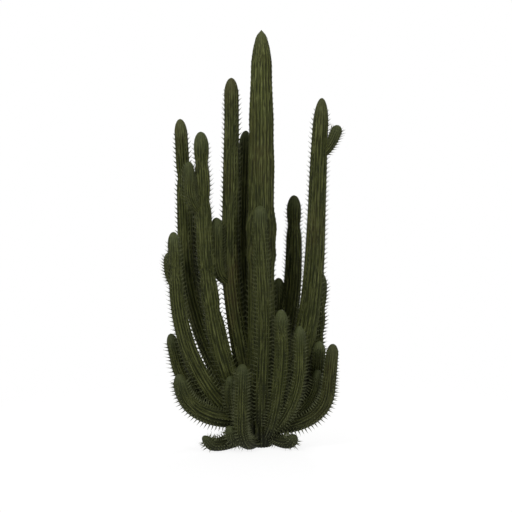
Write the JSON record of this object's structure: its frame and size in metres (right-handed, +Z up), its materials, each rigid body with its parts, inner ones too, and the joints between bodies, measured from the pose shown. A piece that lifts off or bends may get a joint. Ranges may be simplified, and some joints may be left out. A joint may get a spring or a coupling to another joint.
{
  "type": "organ pipe cactus",
  "caption": "Tall clump of ribbed cactus columns that curve up from one root crown round a taller pointed stem, with low arms and small side branches.",
  "frame": {"origin": "centre of the flat cut under the trunk, at ground level", "axes": "+Z up along the trunk, -Y towards the viewer of the picture, +X to the viewer's right"},
  "size_m": [1.9227, 1.1483, 4.5],
  "materials": {
    "skin": "matt waxy skin, olive green, paler along the ribs",
    "spines": "dry grey-brown thorn with felted grey pads"
  },
  "bodies": {
    "root": {"trunk": "skin", "arm_front_short": "skin", "arm_front_right": "skin", "arm_front_right_outer": "skin", "arm_front_left_short": "skin", "stub_front_left": "skin", "arm_front_tall": "skin", "stub_right_ground": "skin", "stub_left_ground": "skin", "arm_right_low": "skin", "arm_left_low_front": "skin", "arm_left_low": "skin", "arm_right_small": "skin", "arm_right_middle": "skin", "arm_left_outer": "skin", "arm_left_lumpy": "skin", "arm_left_far": "skin", "arm_right_tall": "skin", "arm_right_back": "skin", "arm_left_tall": "skin", "arm_back_tall": "skin", "arm_right_lumpy": "skin", "arm_back_middle": "skin", "arm_back_short": "skin", "arm_back_left": "skin", "arm_back_low_right": "skin", "arm_back_low_inner": "skin", "arm_back_low_middle": "skin", "arm_back_low_outer": "skin", "branch_right": "skin", "branch_left_outer": "skin", "branch_left_upper": "skin", "branch_left_inner": "skin"}
  },
  "joints": []
}
